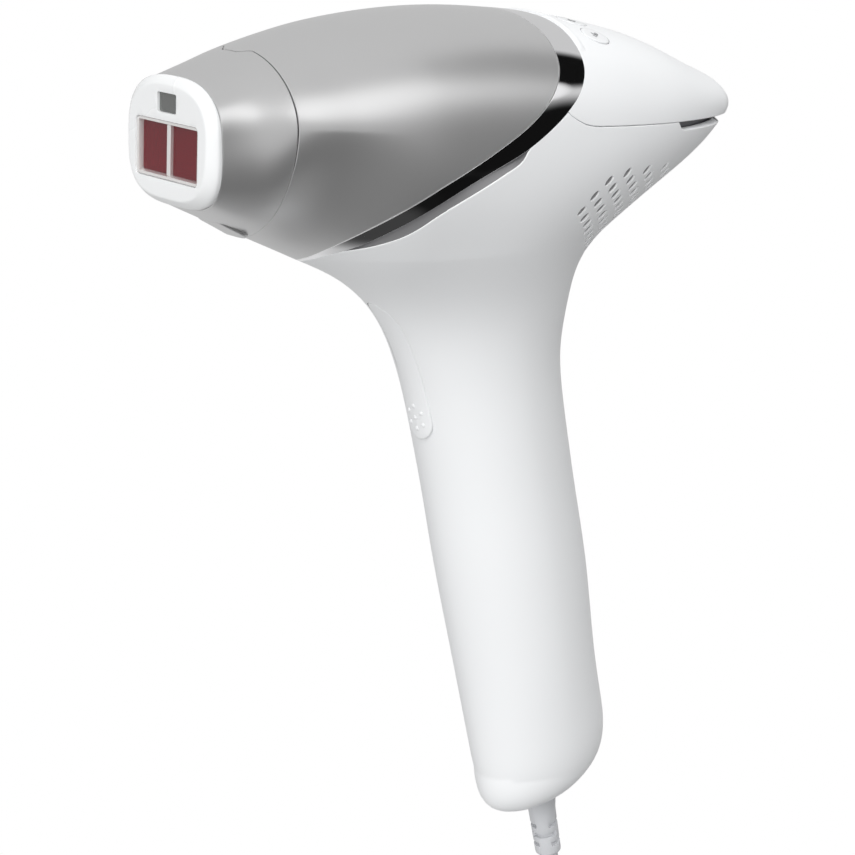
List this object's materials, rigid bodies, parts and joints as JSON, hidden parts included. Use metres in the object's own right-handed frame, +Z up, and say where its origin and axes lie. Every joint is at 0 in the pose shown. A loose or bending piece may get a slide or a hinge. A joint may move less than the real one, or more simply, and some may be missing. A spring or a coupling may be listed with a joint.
{
  "type": "ipl hair remover",
  "caption": "Handheld flash hair remover: pistol shape with a tapered head, a pull-off treatment window, a flash button on the grip, a key panel on top and a cord with a mains adapter.",
  "frame": {"origin": "middle of the hand grip, on the plane of symmetry", "axes": "+Z up from the grip to the head, the treatment window faces -Y, X across the object, whose plane of symmetry is x = 0"},
  "size_m": [0.0686, 0.1705, 0.5011],
  "materials": {
    "white_cover": "satin white",
    "silver_cover": "fine silver metallic paint",
    "chrome_trim": "mirror chrome plating",
    "white_rim": "glossy white",
    "window_metal": "satin steel",
    "filter_glass": "dark red filter glass",
    "clear_glass": "clear quartz glass",
    "sensor_glass": "smoked glossy window",
    "mirror_metal": "polished aluminium",
    "dark_frame": "black moulded plastic",
    "ceramic": "white ceramic",
    "heat_metal": "extruded aluminium",
    "board_green": "green printed circuit board",
    "coil_copper": "copper winding",
    "capacitor_sleeve": "dark blue sleeve",
    "steel": "bright steel",
    "key_white": "satin white",
    "cord_grey": "light grey soft PVC",
    "tie_dark": "black tie",
    "adapter_white": "fine matt white",
    "pin_metal": "nickel-plated brass"
  },
  "bodies": {
    "device": {"body_shell": "white_cover", "rear_cover": "white_cover", "top_cover": "white_cover", "front_cover": "silver_cover", "trim_ring": "chrome_trim", "nose_frame": "dark_frame", "lamp_glass": "clear_glass", "reflector": "mirror_metal", "flash_tube": "clear_glass", "lamp_holders": "ceramic", "skin_sensor": "board_green", "heat_sink": "heat_metal", "fan_housing": "dark_frame", "fan_shaft": "steel", "head_chassis": "dark_frame", "main_board": "board_green", "trigger_transformer": "coil_copper", "energy_capacitor": "capacitor_sleeve", "handle_frame": "dark_frame", "key_board": "board_green", "button_pin": "steel", "button_bracket": "dark_frame", "button_spring": "steel", "button_switch": "dark_frame", "device_socket": "dark_frame", "rear_screws": "steel"},
    "attachment": {"attachment_sleeve": "silver_cover", "attachment_rim": "white_rim", "window_frame": "window_metal", "filter_glass": "filter_glass", "window_bar": "window_metal", "sensor_window": "sensor_glass"},
    "fan": {"fan_rotor": "dark_frame"},
    "sensor_key": {"sensor_key": "key_white"},
    "plus_key": {"plus_key": "key_white"},
    "power_key": {"power_key": "key_white"},
    "minus_key": {"minus_key": "key_white"},
    "mode_key": {"mode_key": "key_white"},
    "flash_button": {"flash_button": "white_cover"},
    "supply_cord": {"supply_plug": "cord_grey", "cord_lead": "cord_grey", "cord_hank": "cord_grey", "cord_tie": "tie_dark", "cord_tail": "cord_grey", "adapter_body": "adapter_white", "adapter_bush": "cord_grey", "adapter_pins": "pin_metal"}
  },
  "joints": [
    {"name": "attachment_pull", "type": "slide", "parent": "device", "child": "attachment", "axis": [0, -1, 0], "range_m": [0, 0.045]},
    {"name": "plug_pull", "type": "slide", "parent": "device", "child": "supply_cord", "axis": [0, 0.1874, -0.9823], "range_m": [0, 0.014]},
    {"name": "flash_press", "type": "hinge", "parent": "device", "child": "flash_button", "pos_m": [0, -0.0286, 0.0435], "axis": [1, 0, 0], "range_deg": [0, 2.5], "stiffness_Nm_per_rad": 0.8, "springref_deg": -1.15, "deforming": ["button_spring"]},
    {"name": "fan_spin", "type": "hinge", "parent": "device", "child": "fan", "pos_m": [0, -0.042, 0.088], "axis": [0, -1, 0], "continuous": true},
    {"name": "sensor_press", "type": "slide", "parent": "device", "child": "sensor_key", "axis": [-0.4067, -0.1899, -0.8936], "range_m": [0, 0.0004], "stiffness_N_per_m": 2000, "springref_m": -0.0002},
    {"name": "plus_press", "type": "slide", "parent": "device", "child": "plus_key", "axis": [-0.1668, -0.205, -0.9644], "range_m": [0, 0.0004], "stiffness_N_per_m": 2000, "springref_m": -0.0002},
    {"name": "power_press", "type": "slide", "parent": "device", "child": "power_key", "axis": [0, -0.2079, -0.9781], "range_m": [0, 0.0004], "stiffness_N_per_m": 2000, "springref_m": -0.0002},
    {"name": "minus_press", "type": "slide", "parent": "device", "child": "minus_key", "axis": [0.1668, -0.205, -0.9644], "range_m": [0, 0.0004], "stiffness_N_per_m": 2000, "springref_m": -0.0002},
    {"name": "mode_press", "type": "slide", "parent": "device", "child": "mode_key", "axis": [0.4067, -0.1899, -0.8936], "range_m": [0, 0.0004], "stiffness_N_per_m": 2000, "springref_m": -0.0002}
  ]
}
